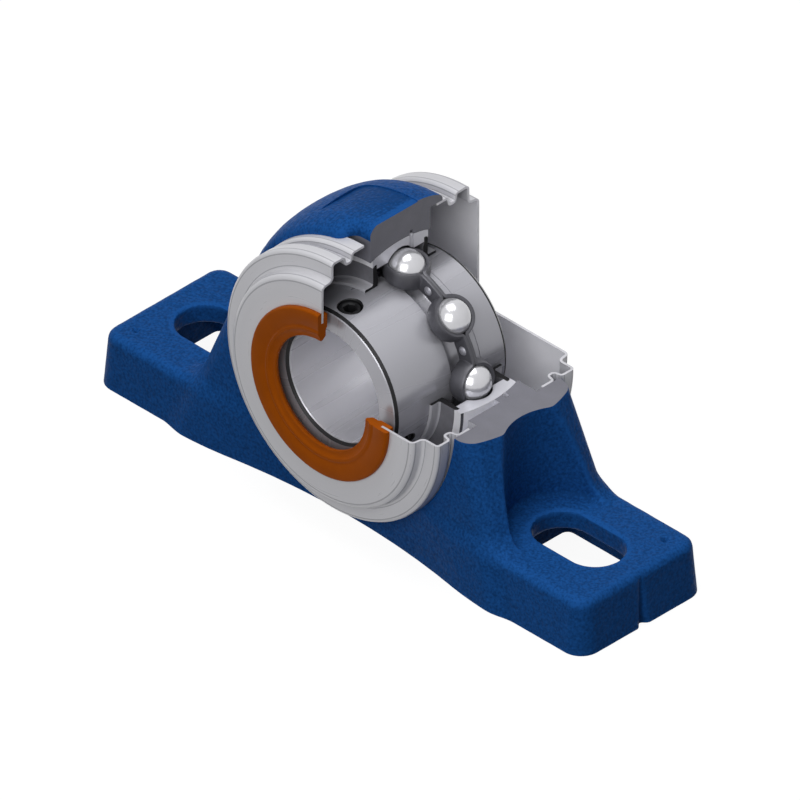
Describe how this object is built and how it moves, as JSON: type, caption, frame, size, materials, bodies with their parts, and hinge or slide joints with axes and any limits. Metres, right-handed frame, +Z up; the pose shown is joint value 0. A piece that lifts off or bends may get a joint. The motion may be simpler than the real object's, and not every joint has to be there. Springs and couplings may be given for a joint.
{
  "type": "pillow block bearing",
  "caption": "Pillow block bearing: slotted cast base, self-aligning insert ball bearing and pressed end covers, with a quarter cut away to show balls and cage.",
  "frame": {"origin": "centre of the bolt pattern on the underside of the base, below the middle of the balls", "axes": "+X along the base, +Y along the shaft towards the closed cover, +Z up; the shaft's axis is at Z = 40.5 mm"},
  "size_m": [0.165, 0.0547, 0.0806],
  "materials": {
    "housing_paint": "blue enamel over as-cast grey iron, bare metal where machined or cut",
    "ring_steel": "ground bearing steel",
    "ball_steel": "polished",
    "cage_steel": "dark pressed strip steel",
    "rivet_steel": "formed heads",
    "black_steel": "black oxide",
    "seal_rubber": "matte moulded",
    "cover_steel": "pressed and plated sheet, satin",
    "orange_rubber": "moulded, slight sheen"
  },
  "bodies": {
    "base": {"housing": "housing_paint", "end_cover_front": "cover_steel", "end_cover_rear": "cover_steel", "cover_seal": "orange_rubber"},
    "outer_race": {"outer_ring": "ring_steel", "bearing_seal_front": "seal_rubber", "bearing_seal_rear": "seal_rubber"},
    "inner_race": {"inner_ring": "ring_steel", "set_screw_1": "black_steel", "set_screw_2": "black_steel"},
    "cage": {"cage_front": "cage_steel", "cage_rear": "cage_steel", "cage_rivets": "rivet_steel"},
    "rolling_ball_1": {"ball_1": "ball_steel"},
    "rolling_ball_2": {"ball_2": "ball_steel"},
    "rolling_ball_3": {"ball_3": "ball_steel"},
    "rolling_ball_4": {"ball_4": "ball_steel"},
    "rolling_ball_5": {"ball_5": "ball_steel"},
    "rolling_ball_6": {"ball_6": "ball_steel"},
    "rolling_ball_7": {"ball_7": "ball_steel"},
    "rolling_ball_8": {"ball_8": "ball_steel"},
    "rolling_ball_9": {"ball_9": "ball_steel"}
  },
  "joints": [
    {"name": "self_alignment", "type": "hinge", "parent": "base", "child": "outer_race", "pos_m": [0, 0, 0.0405], "axis": [1, 0, 0], "range_deg": [-2, 2]},
    {"name": "shaft_spin", "type": "hinge", "parent": "outer_race", "child": "inner_race", "pos_m": [0, 0, 0.0405], "axis": [0, 1, 0], "continuous": true},
    {"name": "cage_spin", "type": "hinge", "parent": "outer_race", "child": "cage", "pos_m": [0, 0, 0.0405], "axis": [0, 1, 0], "continuous": true},
    {"name": "ball_1_spin", "type": "hinge", "parent": "cage", "child": "rolling_ball_1", "pos_m": [0.00214, 0, 0.06491], "axis": [0, 1, 0], "continuous": true},
    {"name": "ball_2_spin", "type": "hinge", "parent": "cage", "child": "rolling_ball_2", "pos_m": [0.01732, 0, 0.05782], "axis": [0, 1, 0], "continuous": true},
    {"name": "ball_3_spin", "type": "hinge", "parent": "cage", "child": "rolling_ball_3", "pos_m": [0.02441, 0, 0.04264], "axis": [0, 1, 0], "continuous": true},
    {"name": "ball_4_spin", "type": "hinge", "parent": "cage", "child": "rolling_ball_4", "pos_m": [0.02007, 0, 0.02645], "axis": [0, 1, 0], "continuous": true},
    {"name": "ball_5_spin", "type": "hinge", "parent": "cage", "child": "rolling_ball_5", "pos_m": [0.00634, 0, 0.01683], "axis": [0, 1, 0], "continuous": true},
    {"name": "ball_6_spin", "type": "hinge", "parent": "cage", "child": "rolling_ball_6", "pos_m": [-0.01035, 0, 0.0183], "axis": [0, 1, 0], "continuous": true},
    {"name": "ball_7_spin", "type": "hinge", "parent": "cage", "child": "rolling_ball_7", "pos_m": [-0.0222, 0, 0.03015], "axis": [0, 1, 0], "continuous": true},
    {"name": "ball_8_spin", "type": "hinge", "parent": "cage", "child": "rolling_ball_8", "pos_m": [-0.02367, 0, 0.04684], "axis": [0, 1, 0], "continuous": true},
    {"name": "ball_9_spin", "type": "hinge", "parent": "cage", "child": "rolling_ball_9", "pos_m": [-0.01405, 0, 0.06057], "axis": [0, 1, 0], "continuous": true}
  ],
  "couplings": [
    {"joint": "cage_spin", "follows": "shaft_spin", "ratio": 0.40281},
    {"joint": "ball_1_spin", "follows": "shaft_spin", "ratio": -2.475},
    {"joint": "ball_2_spin", "follows": "shaft_spin", "ratio": -2.475},
    {"joint": "ball_3_spin", "follows": "shaft_spin", "ratio": -2.475},
    {"joint": "ball_4_spin", "follows": "shaft_spin", "ratio": -2.475},
    {"joint": "ball_5_spin", "follows": "shaft_spin", "ratio": -2.475},
    {"joint": "ball_6_spin", "follows": "shaft_spin", "ratio": -2.475},
    {"joint": "ball_7_spin", "follows": "shaft_spin", "ratio": -2.475},
    {"joint": "ball_8_spin", "follows": "shaft_spin", "ratio": -2.475},
    {"joint": "ball_9_spin", "follows": "shaft_spin", "ratio": -2.475}
  ]
}
